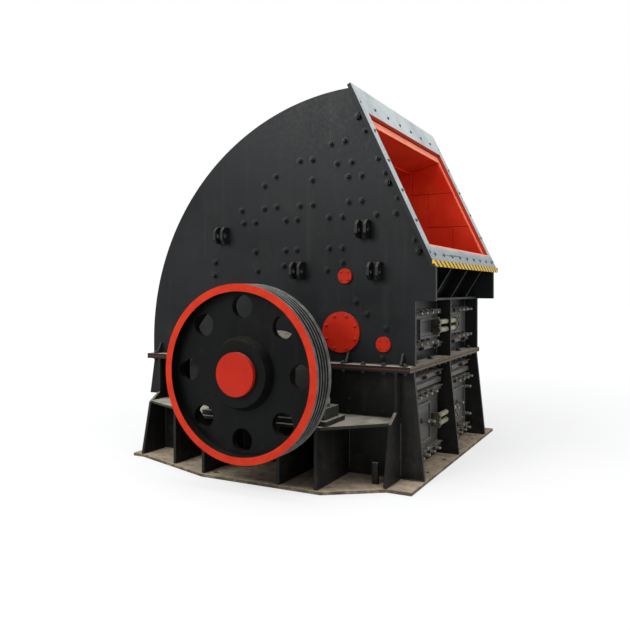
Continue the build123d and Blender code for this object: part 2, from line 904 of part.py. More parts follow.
# Wheels: rim with belt grooves, recessed web with round holes, stepped hub
def wheel(grooves):
    """Wheel on the near side, with a number of belt grooves round its tread."""
    back_y = wheel_front_y - wheel_w
    tread = [(wheel_r, -wheel_front_y)]
    first = -wheel_front_y + (wheel_w - grooves * groove_pitch) / 2
    for number in range(grooves):
        start = first + number * groove_pitch
        tread += [(wheel_r, start), (wheel_r - groove_depth, start + groove_pitch / 2)]
    if grooves:
        tread.append((wheel_r, first + grooves * groove_pitch))
    with BuildPart() as turned:
        with BuildSketch(Plane.XY.offset(split_z)):
            with BuildLine():
                Polyline(
                    *[(shaft_x + r, y) for r, y in tread],
                    (shaft_x + wheel_r, -back_y),
                    (shaft_x + rim_inner_r, -back_y),
                    (shaft_x + rim_inner_r, -web_front_y + web_t),
                    (shaft_x + hub_low_r, -web_front_y + web_t),
                    (shaft_x + hub_low_r, -hub_back_y),
                    (shaft_x + journal_r, -hub_back_y),
                    (shaft_x + journal_r, -wheel_front_y),
                    (shaft_x + hub_top_r, -wheel_front_y),
                    (shaft_x + hub_low_r, -web_front_y),
                    (shaft_x + rim_inner_r, -web_front_y),
                    (shaft_x + rim_inner_r, -wheel_front_y),
                    close=True,
                )
            make_face()
        revolve(axis=Axis((shaft_x, 0, split_z), (0, 1, 0)))
        with BuildSketch(near_plane(web_front_y - web_t)):
            with Locations((shaft_x, split_z)):
                with PolarLocations(web_hole_circle_r, web_hole_count):
                    RegularPolygon(web_hole_r, web_hole_sides)
        extrude(amount=web_t, mode=Mode.SUBTRACT)
    return turned


pieces["pulley_left"] = wheel(groove_count)
plain_wheel = wheel(0)
with BuildPart() as flywheel_right:
    mirror(plain_wheel.part, about=Plane.XZ)
pieces["flywheel_right"] = flywheel_right

with BuildPart() as hub_caps:
    with BuildSketch(near_plane(wheel_front_y)):
        with Locations((shaft_x, split_z)):
            Circle(cap_r)
    extrude(amount=cap_t)
    mirror(about=Plane.XZ)
pieces["hub_caps"] = hub_caps

# Rotor discs on the shaft, held apart by spacers, with holes for the hammer pins
disc_first_y = -(disc_count - 1) / 2 * disc_pitch
rotor_half = disc_t / 2 - disc_first_y
with BuildPart() as rotor_discs:
    for number in range(disc_count):
        with BuildSketch(near_plane(disc_first_y + number * disc_pitch - disc_t / 2)):
            with Locations((shaft_x, split_z)):
                RegularPolygon(disc_r, disc_sides)
                with PolarLocations(pin_circle_r, pin_count):
                    RegularPolygon(pin_r, pin_sides, mode=Mode.SUBTRACT)
        extrude(amount=disc_t)
    with BuildSketch(near_plane(disc_first_y)):
        with Locations((shaft_x, split_z)):
            RegularPolygon(spacer_r, disc_sides)
    extrude(amount=-2 * disc_first_y)
    with BuildSketch(near_plane(-rotor_half)):
        with Locations((shaft_x, split_z)):
            Circle(shaft_r)
    extrude(amount=2 * rotor_half, mode=Mode.SUBTRACT)
pieces["rotor_discs"] = rotor_discs

with BuildPart() as hammer_pins:
    with BuildSketch(near_plane(-rotor_half)):
        with Locations((shaft_x, split_z)):
            with PolarLocations(pin_circle_r, pin_count):
                RegularPolygon(pin_r, pin_sides)
    extrude(amount=2 * rotor_half)
pieces["hammer_pins"] = hammer_pins

# Hammers in every second gap of each pin, with a narrow neck and a wide head
hammer_outline = [
    (pin_circle_r - hammer_neck_w / 2, hammer_neck_w / 2),
    (disc_r - hammer_shoulder, hammer_neck_w / 2),
    (disc_r + 2 * hammer_shoulder, hammer_w / 2),
    (hammer_tip_r, hammer_w / 2),
]
with BuildSketch() as hammer_profile:
    with BuildLine():
        Polyline(*hammer_outline, *[(x, -y) for x, y in reversed(hammer_outline)], close=True)
    make_face()
    with Locations((pin_circle_r, 0)):
        RegularPolygon(pin_r, pin_sides, mode=Mode.SUBTRACT)

with BuildPart() as hammers:
    for number in range(disc_count - 1):
        gap_y = disc_first_y + (number + 0.5) * disc_pitch
        with BuildSketch(near_plane(gap_y - hammer_t / 2)):
            with Locations((shaft_x, split_z)):
                with PolarLocations(0, pin_count // 2, start_angle=number % 2 * 360 / pin_count):
                    add(hammer_profile.sketch)
        extrude(amount=hammer_t)
pieces["hammers"] = hammers

os.makedirs("parts", exist_ok=True)
for name, piece in pieces.items():
    piece.part.label = name
    export_step(piece.part, f"parts/{name}.step")
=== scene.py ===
import bpy
import math
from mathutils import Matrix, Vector


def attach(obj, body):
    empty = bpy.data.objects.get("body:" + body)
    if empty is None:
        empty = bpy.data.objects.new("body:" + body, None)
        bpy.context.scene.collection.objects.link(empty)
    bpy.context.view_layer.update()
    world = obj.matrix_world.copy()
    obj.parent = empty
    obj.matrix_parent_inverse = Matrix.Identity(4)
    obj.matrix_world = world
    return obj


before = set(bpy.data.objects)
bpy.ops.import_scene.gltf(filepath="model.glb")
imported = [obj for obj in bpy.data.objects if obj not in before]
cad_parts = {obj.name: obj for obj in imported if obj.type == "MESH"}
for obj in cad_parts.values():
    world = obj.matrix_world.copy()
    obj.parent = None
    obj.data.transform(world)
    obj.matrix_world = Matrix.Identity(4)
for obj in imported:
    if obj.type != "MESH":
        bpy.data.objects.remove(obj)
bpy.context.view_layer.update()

# Main places of the crusher, in metres. X points to the feed side, Y along the shaft and Z up.
SHAFT_X, SHAFT_Z = 0.195, 1.005
UPPER_Y, LOWER_Y = 1.091, 1.098  # outer faces of the side walls, above and below the flanges
CHAMBER_Y = 1.011  # inner faces of the side linings
WALL_X = 1.245  # outer face of the front walls
DOOR_X, BAR_X = 1.275, 1.313  # outer faces of the front doors and of the bars across them
REAR_DOOR_X = -1.488
SPLIT_Z, FLANGE_TOP, FLANGE_LOW = 1.005, 1.031, 0.979
BASE_TOP = 0.03
COVER_T = 0.024
ROD_X, ROD_HALF, ROD_SPREAD = WALL_X + 0.105, 0.274, 0.039  # adjuster rods, in pairs
ROD_LEVELS = (1.345, 0.42)
WHEEL_FRONT_Y = 2.079
SHELL_X, SHELL_Z, SHELL_R = 0.82, 1.18, 2.385  # the curved back shell's centre and outer radius

# The feed frame leans back. It has a foot, a way up its face and a way out of it.
FEED_FOOT = Vector((1.585, 0, 1.965))
FEED_ANGLE = math.radians(64.55)
FEED_UP = Vector((-math.cos(FEED_ANGLE), 0, math.sin(FEED_ANGLE)))
FEED_OUT = Vector((math.sin(FEED_ANGLE), 0, math.cos(FEED_ANGLE)))
FEED_T = 0.046  # from its face to the lining behind it
OPENING_HALF = 1.0735  # just past the side edges of the frame's opening


def srgb(r, g, b):
    """Colour given as it looks on screen, 0 to 255, as linear light."""
    light = [((c / 255 + 0.055) / 1.055) ** 2.4 if c > 10 else c / 255 / 12.92 for c in (r, g, b)]
    return tuple(light) + (1,)


class Nodes:
    """Short calls for building one node material."""

    def __init__(self, name):
        self.mat = bpy.data.materials.new(name)
        self.mat.use_nodes = True
        self.tree = self.mat.node_tree
        self.tree.nodes.clear()
        out = self.tree.nodes.new("ShaderNodeOutputMaterial")
        self.bsdf = self.tree.nodes.new("ShaderNodeBsdfPrincipled")
        self.link(self.bsdf.outputs[0], out.inputs[0])
        coord = self.tree.nodes.new("ShaderNodeTexCoord")
        self.place, self.normal = coord.outputs["Object"], coord.outputs["Normal"]

    def link(self, a, b):
        self.tree.links.new(a, b)

    def put(self, socket, value):
        """Link an output to a socket, or set a plain value on it."""
        if hasattr(value, "is_output"):
            self.link(value, socket)
        else:
            socket.default_value = value

    def math(self, op, a, b=0.0, clamp=False):
        """One step of arithmetic on outputs or plain values."""
        n = self.tree.nodes.new("ShaderNodeMath")
        n.operation, n.use_clamp = op, clamp
        self.put(n.inputs[0], a)
        self.put(n.inputs[1], b)
        return n.outputs[0]

    def add(self, a, b, clamp=False):
        return self.math("ADD", a, b, clamp)

    def take(self, a, b, clamp=False):
        return self.math("SUBTRACT", a, b, clamp)

    def times(self, *factors):
        result = factors[0]
        for factor in factors[1:]:
            result = self.math("MULTIPLY", result, factor)
        return result

    def size(self, value):
        return self.math("ABSOLUTE", value)

    def reach(self, a, b):
        """Length of the line with these two parts."""
        return self.math("SQRT", self.add(self.times(a, a), self.times(b, b)))

    def dot(self, value, direction):
        n = self.tree.nodes.new("ShaderNodeVectorMath")
        n.operation = "DOT_PRODUCT"
        self.link(value, n.inputs[0])
        n.inputs[1].default_value = tuple(direction)
        return n.outputs["Value"]

    def split(self, v):
        n = self.tree.nodes.new("ShaderNodeSeparateXYZ")
        self.link(v, n.inputs[0])
        return n.outputs

    def noise(self, scale, detail, rough, shift=0.0, stretch=(1, 1, 1)):
        """Cloud pattern in the object's own space. Another shift gives another pattern."""
        m = self.tree.nodes.new("ShaderNodeMapping")
        m.inputs["Scale"].default_value = stretch
        m.inputs["Location"].default_value = (shift, shift * 0.7, shift * 1.3)
        self.link(self.place, m.inputs["Vector"])
        n = self.tree.nodes.new("ShaderNodeTexNoise")
        n.inputs["Scale"].default_value = scale
        n.inputs["Detail"].default_value = detail
        n.inputs["Roughness"].default_value = rough
        self.link(m.outputs[0], n.inputs["Vector"])
        return n.outputs["Fac"]

    def ramp(self, value, low, high, a=0.0, b=1.0):
        """Smooth step from a, where the value is low, to b, where it is high."""
        n = self.tree.nodes.new("ShaderNodeMapRange")
        n.interpolation_type = "SMOOTHSTEP"
        self.put(n.inputs["Value"], value)
        n.inputs["From Min"].default_value = low
        n.inputs["From Max"].default_value = high
        n.inputs["To Min"].default_value = a
        n.inputs["To Max"].default_value = b
        return n.outputs["Result"]

    def mix(self, fac, a, b):
        n = self.tree.nodes.new("ShaderNodeMix")
        n.data_type = "RGBA"
        self.put(n.inputs["Factor"], fac)
        self.put(n.inputs["A"], a)
        self.put(n.inputs["B"], b)
        return n.outputs["Result"]

    def worn(self, a, b, scale, shift, low=0.35, high=0.7, detail=6, rough=0.7):
        """Two tones of one colour in cloudy patches."""
        return self.mix(self.ramp(self.noise(scale, detail, rough, shift), low, high), a, b)

    def bump(self, height, strength, distance):
        n = self.tree.nodes.new("ShaderNodeBump")
        n.inputs["Strength"].default_value = strength
        n.inputs["Distance"].default_value = distance
        self.link(height, n.inputs["Height"])
        self.link(n.outputs[0], self.bsdf.inputs["Normal"])

    def finish(self, colour, rough, metal=0.0):
        self.put(self.bsdf.inputs["Base Color"], colour)
        self.put(self.bsdf.inputs["Roughness"], rough)
        self.put(self.bsdf.inputs["Metallic"], metal)
        return self.mat


DUST = srgb(150, 137, 122)
RUST = srgb(96, 58, 36)
FILM = 0.14  # most that a streak or the veil of dust covers, at a strength of 1
LIES = (0.35, 0.9)  # upward tilt of a face where dust starts to lie, and where it lies fully
NEAR_GROUND = (0.75, 0.03)  # heights between which dust thickens downward
SPREAD = (0.08, 0.12)  # how far roughness goes below and above its mean
DULL = 0.35  # what lying dust adds to roughness


def paint(name, colour, light, rough=0.42, gloss=0.3, dust=0.5, top_dust=0.8, foot=0.5, streaks=0.5,
          chips=0.25, dust_colour=DUST, extra=None, over=None):
    """Enamel on plate, cloudy between two tones, with dust, streaks and chips.

    dust is a thin veil all over, top_dust lies on upper faces and foot near the ground. extra changes
    the colour under the dust, and over changes it above the dust.
    """
    n = Nodes(name)
    height, up = n.split(n.place)[2], n.split(n.normal)[2]
    clouds = n.noise(1.7, 6, 0.62)
    fine = n.noise(34, 7, 0.7, shift=3)
    streak = n.noise(5.5, 6, 0.65, shift=7, stretch=(2.2, 2.2, 0.16))
    grain = n.noise(9, 8, 0.75, shift=11)
    patches = n.noise(2.8, 8, 0.72, shift=19)
    spots = n.noise(13, 9, 0.8, shift=23)

    base = n.mix(n.ramp(clouds, 0.32, 0.68), colour, light)
    if extra:
        base = extra(n, base)
    base = n.mix(n.times(n.ramp(streak, 0.5, 0.8), streaks * FILM), base, dust_colour)
    lying = n.times(n.ramp(up, *LIES), n.ramp(grain, 0.3, 0.62, 0.45 * top_dust, top_dust))
    base = n.mix(lying, base, dust_colour)
    low = n.times(n.ramp(height, *NEAR_GROUND), n.ramp(grain, 0.42, 0.72, 0.0, foot))
    base = n.mix(low, base, dust_colour)
    base = n.mix(n.times(n.ramp(patches, 0.52, 0.82), dust * FILM), base, dust_colour)
    chip = n.times(n.ramp(spots, 0.69, 0.73), chips)
    base = n.mix(chip, base, RUST)
    if over:
        base = over(n, base)

    uneven = n.add(n.times(fine, 0.5), n.times(clouds, 0.5))
    dull = n.ramp(uneven, 0.35, 0.65, rough - SPREAD[0], rough + SPREAD[1])
    dull = n.add(dull, n.times(n.math("MAXIMUM", lying, low), DULL), clamp=True)
    relief = n.add(n.times(fine, 0.35), n.add(clouds, n.times(chip, -0.4)))
    n.bump(relief, 0.2, 0.004)
    n.bsdf.inputs["Specular IOR Level"].default_value = gloss
    return n.finish(base, dull)


def metal(name, colour, light, rough=0.35, metallic=1.0, dirt=0.5, dirt_colour=RUST, scale=20, bump=0.3):
    """Bare steel or iron: cloudy tone, grime in patches that is no metal, fine grain."""
    n = Nodes(name)
    clouds = n.noise(scale * 0.3, 6, 0.65)
    fine = n.noise(scale * 3, 8, 0.7, shift=5)
    grime = n.times(n.ramp(n.noise(scale * 0.6, 8, 0.75, shift=9), 0.42, 0.7), dirt)
    base = n.mix(grime, n.mix(n.ramp(clouds, 0.35, 0.65), colour, light), dirt_colour)
    dull = n.add(n.ramp(fine, 0.3, 0.7, rough - 0.1, rough + 0.12), n.times(grime, 0.4), clamp=True)
    n.bump(n.add(fine, n.times(clouds, 0.6)), bump, 0.003)
    return n.finish(base, dull, n.take(metallic, n.times(grime, metallic), clamp=True))


# Lining red painted lighter: a painted highlight on faces that look out of the feed opening
SALMON_HIGHLIGHT = srgb(255, 158, 128)


def highlight_end_faces(n, base):
    """Painted highlight: salmon, the red painted lighter, on the ends of plates that look out through the
    feed opening.
    """
    x, y, z = n.split(n.place)
    facing = n.ramp(n.dot(n.normal, FEED_OUT), 0.9, 0.95)
    between = n.math("LESS_THAN", n.size(y), 1.0945)
    above = n.math("GREATER_THAN", z, 1.95)
    near = n.math("GREATER_THAN", n.dot(n.place, FEED_OUT), FEED_FOOT.dot(FEED_OUT) - 0.08)
    salmon = n.worn(SALMON_HIGHLIGHT, srgb(244, 132, 100), 7, 43)
    return n.mix(n.times(facing, between, above, near), base, salmon)


def frame_faces(n, base):
    """Grey on the front of the feed frame with a salmon rim below its opening, red inside it. The salmon rim
    is a painted highlight: the recessed lining's red face painted lighter.
    """
    foot = FEED_FOOT.dot(FEED_UP)
    up = n.dot(n.place, FEED_UP)
    between = n.math("LESS_THAN", n.size(n.split(n.place)[1]), OPENING_HALF)
    front = n.ramp(n.dot(n.normal, FEED_OUT), 0.5, 0.8)
    within = n.times(n.math("GREATER_THAN", up, foot + 0.02), n.math("LESS_THAN", up, foot + 1.76), between)
    sides = n.mix(within, srgb(34, 36, 37), srgb(182, 58, 38))
    face = n.mix(n.ramp(up, foot + 0.17, foot + 0.09, 0.0, 0.5), base, srgb(108, 118, 128))
    # Painted highlight: the salmon band on front faces at the opening's lower edge
    rim = n.times(n.ramp(up, foot + 0.137, foot + 0.14), n.ramp(up, foot + 0.3, foot + 0.29), between)
    return n.mix(front, sides, n.mix(rim, face, SALMON_HIGHLIGHT))


def flange_faces(n, base):
    """Brown end edges with a dark seam on the flanges, black side edges with a thin red line."""
    height = n.split(n.place)[2]
    normal = n.split(n.normal)
    edge = n.ramp(n.size(normal[2]), 0.5, 0.3)
    side = n.ramp(n.size(normal[1]), 0.5, 0.8)
    seam = n.ramp(n.size(n.take(height, SPLIT_Z)), 0.007, 0.004)
    brown = n.worn(srgb(112, 98, 80), srgb(70, 60, 46), 16, 53, high=0.68, detail=7)
    ends = n.mix(seam, brown, srgb(44, 34, 26))
    sides = n.mix(seam, srgb(30, 30, 30), srgb(88, 40, 32))
    return n.mix(edge, base, n.mix(side, ends, sides))


def rod_steel(n, base):
    """Pale steel on the adjuster rods, paint on their yokes."""
    x, y, z = n.split(n.place)
    upper, lower = [n.size(n.take(n.size(n.take(z, level)), ROD_SPREAD)) for level in ROD_LEVELS]
    reach = n.reach(n.math("MINIMUM", upper, lower), n.take(x, ROD_X))
    bare = n.times(n.math("LESS_THAN", reach, 0.0285), n.math("LESS_THAN", n.size(y), ROD_HALF))
    return n.mix(bare, base, n.worn(srgb(168, 166, 142), srgb(120, 116, 92), 18, 47))


def rim_paint(side):
    """Red ring with a worn inner edge on the rim's front face, pale lands on the tread, and painted shade:
    near black down in the grooves between the lands.
    """
    def add(n, base):
        x, y, z = n.split(n.place)
        radius = n.reach(n.take(x, SHAFT_X), n.take(z, SHAFT_Z))
        wobble = n.times(n.take(n.noise(40, 4, 0.6, shift=31), 0.5), 0.004)
        band = n.ramp(n.add(radius, wobble), 0.6855, 0.687)
        front = n.ramp(n.times(y, side), WHEEL_FRONT_Y - 0.0025, WHEEL_FRONT_Y - 0.0005)
        red = n.worn(srgb(196, 52, 28), srgb(176, 40, 22), 6, 37, rough=0.6)
        tread = n.times(n.ramp(radius, 0.715, 0.718), n.take(1.0, front))
        pale = n.worn(srgb(112, 112, 110), srgb(76, 76, 74), 9, 59, high=0.68)
        # Painted shade: the tread goes near black below the lands, in the grooves
        groove_shade_and_land = n.mix(n.ramp(radius, 0.742, 0.7465), srgb(16, 16, 16), pale)
        return n.mix(n.times(band, front), n.mix(tread, base, groove_shade_and_land), red)
    return add


def stripes(n, base):
    """Slanted warning stripes, yellow on dark grey, a little worn."""
    pitch, lean = 0.12, 2.2
    x, y, z = n.split(n.place)
    run = n.add(n.math("DIVIDE", n.add(y, n.times(z, lean)), pitch), 40.0)
    part = n.math("FRACT", run)
    yellow = n.worn(srgb(248, 200, 0), srgb(218, 172, 8), 24, 41, low=0.4, high=0.75)
    return n.mix(n.times(n.ramp(part, 0.4, 0.43), n.ramp(part, 1.0, 0.98)), base, yellow)


def wheel_paint(name, side):
    return paint(name, srgb(9, 10, 11), srgb(14, 15, 15), gloss=0.08, dust=0.25, top_dust=0.05, foot=0.0,
                 streaks=0.1, chips=0.1, extra=rim_paint(side))


M = {
    "plate": paint(
        "plate_black", srgb(21, 23, 24), srgb(28, 30, 31), gloss=0.14, dust=0.25, top_dust=0.3, foot=0.0,
        streaks=0.2, chips=0.1, extra=highlight_end_faces),
    "lower": paint(
        "lower_black", srgb(20, 21, 20), srgb(28, 28, 27), gloss=0.14, foot=0.06, streaks=0.3),
    "base": paint(
        "base_black", srgb(62, 55, 47), srgb(92, 82, 68), rough=0.7, gloss=0.1, dust=1.6, top_dust=0.97,
        foot=0.6, dust_colour=srgb(184, 167, 145)),
    "bench": paint(
        "bench_black", srgb(34, 33, 31), srgb(48, 45, 41), rough=0.6, gloss=0.15, dust=0.8, top_dust=0.95,
        foot=0.0, dust_colour=srgb(176, 171, 156)),
    "flange": paint(
        "flange_brown", srgb(66, 60, 48), srgb(90, 81, 65), rough=0.6, gloss=0.15, dust=1.0, top_dust=0.97,
        foot=0.0, dust_colour=srgb(190, 180, 166), over=flange_faces),
    "chute": paint(
        "chute_black", srgb(8, 9, 11), srgb(12, 13, 15), gloss=0.1, dust=0.2, top_dust=0.3, foot=0.0,
        streaks=0.1, chips=0.0),
    "door": paint(
        "door_black", srgb(54, 55, 54), srgb(68, 67, 64), dust=1.0, foot=0.2, chips=0.5),
    "frame": paint(
        "frame_grey", srgb(160, 170, 172), srgb(200, 206, 206), rough=0.5, gloss=0.12, dust=0.8,
        top_dust=0.1, streaks=1.2, chips=0.3, dust_colour=srgb(120, 118, 110), over=frame_faces),
    "lip": paint(
        "lip_striped", srgb(36, 34, 24), srgb(48, 46, 34), gloss=0.15, dust=0.3, streaks=0.2, chips=0.3,
        extra=stripes),
    "red": paint(
        "cover_red", srgb(164, 24, 4), srgb(180, 34, 10), rough=0.45, gloss=0.18, dust=0.3, top_dust=0.3,
        foot=0.0, streaks=0.2, chips=0.1),
    "lining": paint(
        "lining_red", srgb(218, 38, 12), srgb(238, 62, 30), rough=0.6, gloss=0.15, dust=0.4, top_dust=0.3,
        streaks=0.4, chips=0.1, dust_colour=srgb(150, 84, 62), extra=highlight_end_faces),
    "pulley": wheel_paint("pulley_black", -1),
    "flywheel": wheel_paint("flywheel_black", 1),
    "adjuster": paint(
        "adjuster_black", srgb(44, 43, 38), srgb(86, 82, 66), dust=0.8, top_dust=0.6, foot=0.0,
        dust_colour=srgb(128, 122, 104), extra=rod_steel),
    "casting": paint(
        "casting_black", srgb(30, 31, 31), srgb(46, 46, 44), rough=0.55, dust=1.2, top_dust=0.85, foot=0.0,
        dust_colour=srgb(150, 145, 130)),
    "lug": paint(
        "lug_black", srgb(13, 14, 16), srgb(20, 21, 23), dust=0.2, top_dust=0.2, foot=0.0, streaks=0.0,
        chips=0.1),
    "plate_bolt": paint(
        "plate_bolt", srgb(9, 10, 11), srgb(16, 17, 18), rough=0.4, dust=0.1, top_dust=0.12, foot=0.0,
        streaks=0.0, chips=0.0),
    "bolt": paint(
        "bolt_black", srgb(22, 23, 24), srgb(34, 35, 35), rough=0.36, gloss=0.25, dust=0.3, top_dust=0.35,
        foot=0.0, chips=0.2),
    "steel": metal(
        "bare_steel", srgb(150, 146, 138), srgb(184, 180, 172), dirt=0.45),
    "nut": metal(
        "plated_nut", srgb(112, 110, 102), srgb(150, 146, 136), rough=0.45, metallic=0.4, dirt=0.4,
        dirt_colour=srgb(92, 84, 68), scale=30),
    "rod": metal(
        "oiled_rod", srgb(120, 116, 92), srgb(160, 154, 124), rough=0.42, metallic=0.4,
        dirt_colour=srgb(70, 62, 44), scale=30),
    "dot": metal(
        "frame_bolt", srgb(74, 78, 86), srgb(98, 102, 110), rough=0.5, metallic=0.4, dirt=0.4,
        dirt_colour=srgb(60, 62, 70), scale=30),
    "cast": metal(
        "cast_steel", srgb(52, 48, 44), srgb(82, 76, 70), rough=0.62, metallic=0.5, dirt=0.6, scale=16,
        bump=0.6),
    "weld": metal(
        "weld_bead", srgb(30, 30, 29), srgb(46, 45, 43), rough=0.5, metallic=0.2, dirt=0.3,
        dirt_colour=srgb(80, 72, 60), scale=40),
}

# The first entry with a start that fits a CAD node's name gives the node its material
PAINTED = {
    "pulley": ("pulley_left",),
    "flywheel": ("flywheel_right",),
    "lug": ("lifting_lugs",),
    "plate": ("side_plate", "back_shell", "upper_wall"),
    "base": ("base_",),
    "bench": ("benches", "bearing_soles"),
    "flange": ("lower_flange", "upper_flange"),
    "door": ("doors",),
    "red": ("side_covers", "hub_caps"),
    "lining": ("liner", "breaker"),
    "frame": ("feed_frame",),
    "lip": ("feed_lip",),
    "chute": ("chute_floor",),
    "lower": ("lower_wall", "rib_", "gussets", "shaft_seals"),
    "steel": ("shaft", "hammer_pins"),
    "adjuster": ("adjuster",),
    "cast": ("hammers", "rotor_discs", "grate"),
    "casting": ("bearing",),
}
for node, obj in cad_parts.items():
    key = next(key for key, starts in PAINTED.items() if node.startswith(starts))
    obj.data.materials.clear()
    obj.data.materials.append(M[key])


# A bolt's parts, each point as a share of the head's radius and height
WASHER_T = 0.2
WASHER = ((1.42, 0.0), (1.42, 0.16), (1.34, WASHER_T))
HEAD = ((1.0, 0.0), (1.0, 0.66), (0.86, 0.8))
TIP = ((0.52, 0.7), (0.52, 1.05), (0.42, 1.12))


class Kit:
    """Collects the faces of one piece, then makes it."""

    def __init__(self):
        self.verts, self.faces = [], []

    def loft(self, rings):
        """Closed skin over rings of equally many points."""
        start, count = len(self.verts), len(rings[0])
        for ring in rings:
            self.verts.extend(ring)
        for k in range(len(rings) - 1):
            a = start + k * count
            for i in range(count):
                j = (i + 1) % count
                self.faces.append((a + i, a + j, a + count + j, a + count + i))
        last = start + (len(rings) - 1) * count
        self.faces.append(tuple(start + i for i in reversed(range(count))))
        self.faces.append(tuple(last + i for i in range(count)))

    def turned(self, place, axis, profile, sides, turn=0.0):
        """Rings of given radius and height on an axis."""
        axis = Vector(axis).normalized()
        spin = axis.to_track_quat("Z", "Y").to_matrix()
        place = Vector(place)
        angles = [turn + math.tau * i / sides for i in range(sides)]
        self.loft([
            [place + axis * height + spin @ Vector((radius * math.cos(a), radius * math.sin(a), 0))
             for a in angles]
            for radius, height in profile
        ])

    def bolt(self, place, axis, r, h, washer=True, stud=True):
        """Hexagon nut or head with a chamfer, its washer and the stud's end."""
        base = 0.0

        def part(profile, sides, turn=0.0):
            self.turned(place, axis, [(r * a, base + h * b) for a, b in profile], sides, turn)

        if washer:
            part(WASHER, 14)
            base = h * WASHER_T
        part(HEAD, 6, (place[0] * 7.3 + place[2] * 11.7 + place[1] * 5.1) % 1.05)  # each turned its own way
        if stud:
            part(TIP, 10)

    def block(self, low, high, b):
        """Box between two corners with every edge chamfered by b."""
        (x0, y0, z0), (x1, y1, z1) = low, high

        def ring(z, i):
            return [Vector(p) for p in (
                (x0 + b + i, y0 + i, z), (x1 - b - i, y0 + i, z),
                (x1 - i, y0 + b + i, z), (x1 - i, y1 - b - i, z),
                (x1 - b - i, y1 - i, z), (x0 + b + i, y1 - i, z),
                (x0 + i, y1 - b - i, z), (x0 + i, y0 + b + i, z))]

        self.loft([ring(z0, b), ring(z0 + b, 0), ring(z1 - b, 0), ring(z1, b)])

    def slab(self, outline, along, bevel):
        """Plate from an outline of points, thick along a vector, with a chamfer on its outer face."""
        along = Vector(along)
        middle = sum(outline, Vector()) / len(outline)
        shrunk = [p + (middle - p).normalized() * bevel for p in outline]
        self.loft([list(outline), [p + along * 0.75 for p in outline], [p + along for p in shrunk]])

    def bead(self, a, b, r, wave=0.0):
        """Weld bead between two points, with the ripples of its passes."""
        a, b = Vector(a), Vector(b)
        run = b - a
        steps = max(4, int(run.length / 0.03))
        side = run.normalized().to_track_quat("Z", "Y").to_matrix()
        rings = []
        for k in range(steps + 1):
            size = r * (1 + 0.16 * math.sin(k * 2.1 + wave) + 0.08 * math.sin(k * 5.3 + wave * 3))
            if k in (0, steps):
                size *= 0.5
            centre = a + run * (k / steps)
            rings.append([
                centre + side @ Vector((size * math.cos(t), size * math.sin(t), 0))
                for t in (math.tau * i / 6 for i in range(6))
            ])
        self.loft(rings)

    def make(self, name, material, body, slot, smooth=False):
        mesh = bpy.data.meshes.new(name)
        mesh.from_pydata([tuple(v) for v in self.verts], [], self.faces)
        mesh.validate()
        mesh.update()
        obj = bpy.data.objects.new(name, mesh)
        bpy.context.collection.objects.link(obj)
        mesh.materials.append(material)
        for poly in mesh.polygons:
            poly.use_smooth = smooth
        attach(obj, body)


def on_feed(s, y, out=0.0):
    """Point on the feed frame's face, a distance up it and out of it."""
    return FEED_FOOT + FEED_UP * s + FEED_OUT * out + Vector((0, y, 0))


def clip(points, nx, nz, limit):
    """Part of an outline of (x, z) pairs where x * nx + z * nz is below a limit."""
    kept = []
    for i, p in enumerate(points):
        q = points[(i + 1) % len(points)]
        dp, dq = p[0] * nx + p[1] * nz - limit, q[0] * nx + q[1] * nz - limit
        if dp <= 0:
            kept.append(p)
        if (dp < 0) != (dq < 0):
            t = dp / (dp - dq)
            kept.append((p[0] + (q[0] - p[0]) * t, p[1] + (q[1] - p[1]) * t))
    return kept


def centre_of(a, b, c):
    """Centre of the circle through three (x, z) points."""
    (ax, az), (bx, bz), (cx, cz) = a, b, c
    d = 2 * (ax * (bz - cz) + bx * (cz - az) + cx * (az - bz))
    aa, bb, cc = ax**2 + az**2, bx**2 + bz**2, cx**2 + cz**2
    return (
        (aa * (bz - cz) + bb * (cz - az) + cc * (az - bz)) / d,
        (aa * (cx - bx) + bb * (ax - cx) + cc * (bx - ax)) / d,
    )


# Bolts on the side plates: (x, z) in millimetres, then each kind's radius and height in metres
LINER_BOLTS = [
    (572, 3062), (714, 3078), (237, 2933), (373, 2932), (633, 2877), (782, 2877), (-28, 2805),
    (-159, 2723), (370, 2741), (747, 2746), (880, 2746), (-425, 2493), (-162, 2499), (-21, 2508),
    (237, 2505), (376, 2508), (750, 2513), (882, 2514), (-404, 2366), (-265, 2368), (81, 2372),
    (208, 2375), (547, 2378), (687, 2376), (1027, 2381), (1213, 2384), (-749, 1980), (-265, 2076),
    (78, 2081), (201, 2083), (550, 2088), (687, 2089), (-756, 1848), (-241, 1887), (61, 1934),
    (529, 1888), (690, 1956), (827, 1597), (935, 1484), (1121, 1358), (1087, 1095),
]
EDGE_BOLTS = [(918, 3148), (1041, 2885), (1112, 2753), (1229, 2523), (1390, 2141)]
EDGE_BIG_BOLTS = [(851, 3289), (1148, 2666), (1427, 2045)]
LOWER_BOLTS = [(768, 701), (860, 749), (1039, 889), (751, 581), (917, 602), (1096, 948), (1104, 607)]
PLATE_BOLTS = (
    (LINER_BOLTS, UPPER_Y, 0.025, 0.03, True),
    (EDGE_BOLTS, UPPER_Y, 0.021, 0.026, True),
    (EDGE_BIG_BOLTS, UPPER_Y, 0.034, 0.045, False),
    (LOWER_BOLTS, LOWER_Y, 0.014, 0.018, True),
)
